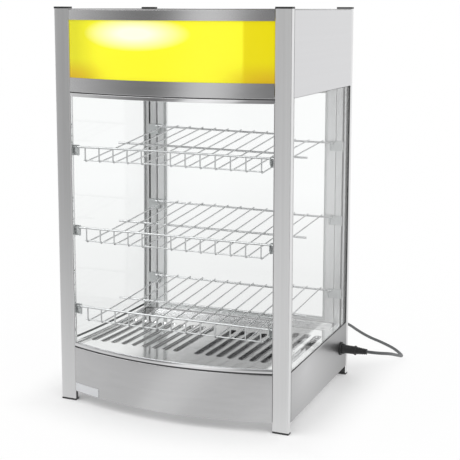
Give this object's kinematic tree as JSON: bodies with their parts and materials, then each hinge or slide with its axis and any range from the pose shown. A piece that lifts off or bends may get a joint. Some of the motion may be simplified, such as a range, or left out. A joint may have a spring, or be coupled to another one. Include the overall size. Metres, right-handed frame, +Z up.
{
  "type": "heated display cabinet",
  "caption": "Countertop heated display cabinet: bowed glass front, lit header panel, wire racks over a heated deck, glazed rear door and supply cord.",
  "frame": {"origin": "on the counter, under the middle of the cabinet's outline without the cord", "axes": "+Z up; +Y from the bowed glass front to the rear door; +X to the right of a viewer in front"},
  "size_m": [0.5814, 0.7486, 0.774],
  "materials": {
    "brushed_steel": "satin, grained along the panel",
    "bright_steel": "bright, nearly mirror",
    "aluminium": "satin, grained along the length",
    "chrome": "mirror",
    "rack_wire": "dull chromed wire",
    "bracket_grey": "satin grey",
    "clear_glass": "clear, polished",
    "lit_panel": "translucent yellow, lit from behind",
    "black_plastic": "moulded, matt",
    "white_plastic": "moulded, matt",
    "black_rubber": "moulded rubber",
    "cord_grey": "smooth sheath",
    "heater_sheath": "heat-tinted steel tube",
    "lamp_glass": "frosted white"
  },
  "bodies": {
    "cabinet": {"post_front_left": "aluminium", "post_front_right": "aluminium", "post_rear_left": "aluminium", "post_rear_right": "aluminium", "foot_front_left": "black_plastic", "foot_front_right": "black_plastic", "foot_rear_left": "black_plastic", "foot_rear_right": "black_plastic", "cap_front_left": "black_plastic", "cap_front_right": "black_plastic", "cap_rear_left": "black_plastic", "cap_rear_right": "black_plastic", "base_pan": "bright_steel", "base_front_panel": "brushed_steel", "base_side_panel_left": "brushed_steel", "base_side_panel_right": "brushed_steel", "base_rear_panel": "brushed_steel", "deck_plate": "bright_steel", "temperature_probe": "black_plastic", "heating_element": "heater_sheath", "thermostat_body": "black_plastic", "power_switch_housing": "black_plastic", "terminal_block": "white_plastic", "glass_rail_foot": "chrome", "glass_rail_head": "chrome", "front_glass": "clear_glass", "side_glass_left": "clear_glass", "side_glass_right": "clear_glass", "header_lower_band": "brushed_steel", "header_upper_band": "brushed_steel", "display_panel": "lit_panel", "header_side_panel_left": "brushed_steel", "header_side_panel_right": "brushed_steel", "header_rear_panel": "brushed_steel", "chamber_ceiling": "bright_steel", "top_cover": "brushed_steel", "lamp_tube": "lamp_glass", "lamp_holder_left": "white_plastic", "lamp_holder_right": "white_plastic", "rack_hanger_front_left": "bracket_grey", "rack_hanger_front_right": "bracket_grey", "rack_hanger_rear_left": "bracket_grey", "rack_hanger_rear_right": "bracket_grey", "hinge_pin_lower": "bright_steel", "hinge_pin_upper": "bright_steel", "door_catch": "white_plastic", "cord_gland": "black_plastic", "cord_boot": "black_rubber", "cord": "cord_grey", "cord_coil": "cord_grey", "cord_tie": "black_plastic", "plug": "black_plastic"},
    "rear_door": {"rear_door_frame": "aluminium", "rear_door_glass": "clear_glass", "door_handle": "black_plastic"},
    "upper_rack": {"rack_upper": "rack_wire"},
    "middle_rack": {"rack_middle": "rack_wire"},
    "lower_rack": {"rack_lower": "rack_wire"},
    "thermostat_dial": {"thermostat_knob": "black_plastic"},
    "power_rocker": {"power_switch_rocker": "black_plastic"}
  },
  "joints": [
    {"name": "rear_door_hinge", "type": "hinge", "parent": "cabinet", "child": "rear_door", "pos_m": [-0.2014, 0.18135, 0.36], "axis": [0, 0, 1], "range_deg": [0, 90]},
    {"name": "upper_rack_lift", "type": "slide", "parent": "cabinet", "child": "upper_rack", "axis": [0, 0, 1], "range_m": [0, 0.01]},
    {"name": "middle_rack_lift", "type": "slide", "parent": "cabinet", "child": "middle_rack", "axis": [0, 0, 1], "range_m": [0, 0.01]},
    {"name": "lower_rack_lift", "type": "slide", "parent": "cabinet", "child": "lower_rack", "axis": [0, 0, 1], "range_m": [0, 0.01]},
    {"name": "thermostat_turn", "type": "hinge", "parent": "cabinet", "child": "thermostat_dial", "pos_m": [-0.095, 0.19, 0.064], "axis": [0, -1, 0], "range_deg": [0, 270]},
    {"name": "power_switch_rock", "type": "hinge", "parent": "cabinet", "child": "power_rocker", "pos_m": [-0.025, 0.18435, 0.064], "axis": [1, 0, 0], "range_deg": [0, 16]}
  ]
}
